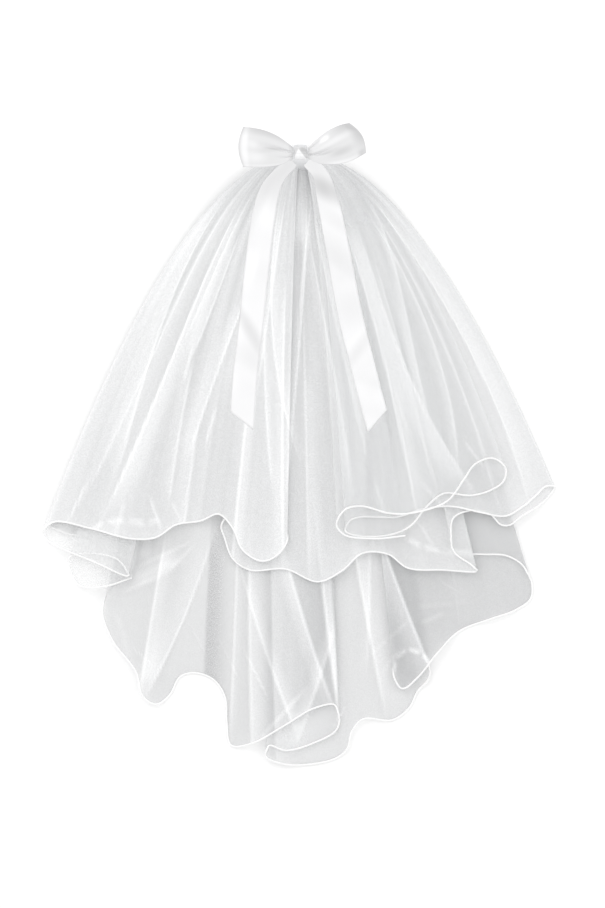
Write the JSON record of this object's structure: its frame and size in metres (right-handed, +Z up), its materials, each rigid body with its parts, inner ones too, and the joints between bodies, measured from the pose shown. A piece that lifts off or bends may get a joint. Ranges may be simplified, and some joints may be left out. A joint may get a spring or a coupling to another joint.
{
  "type": "bridal veil",
  "caption": "Short two-tier tulle wedding veil with corded hems, gathered under a satin bow with two hanging tails, laid flat.",
  "frame": {"origin": "middle of the flat underside, on the surface that the veil lies on", "axes": "+X to the right seen from above, +Y from the hem towards the head, +Z up out of the surface"},
  "size_m": [0.5245, 0.6556, 0.0358],
  "materials": {
    "white_tulle": "fine soft white net, see-through, matte",
    "bunched_tulle": "many layers of white net drawn together, matte",
    "white_cord": "fine white satin cord, soft sheen",
    "white_satin": "white satin ribbon with a soft sheen"
  },
  "bodies": {
    "root": {"upper_tier": "white_tulle", "lower_tier": "white_tulle", "hem_cord_upper": "white_cord", "hem_cord_lower": "white_cord", "gathered_head": "bunched_tulle", "bow_loop_left": "white_satin", "bow_loop_right": "white_satin", "bow_knot": "white_satin", "tail_left": "white_satin", "tail_right": "white_satin"}
  },
  "joints": []
}
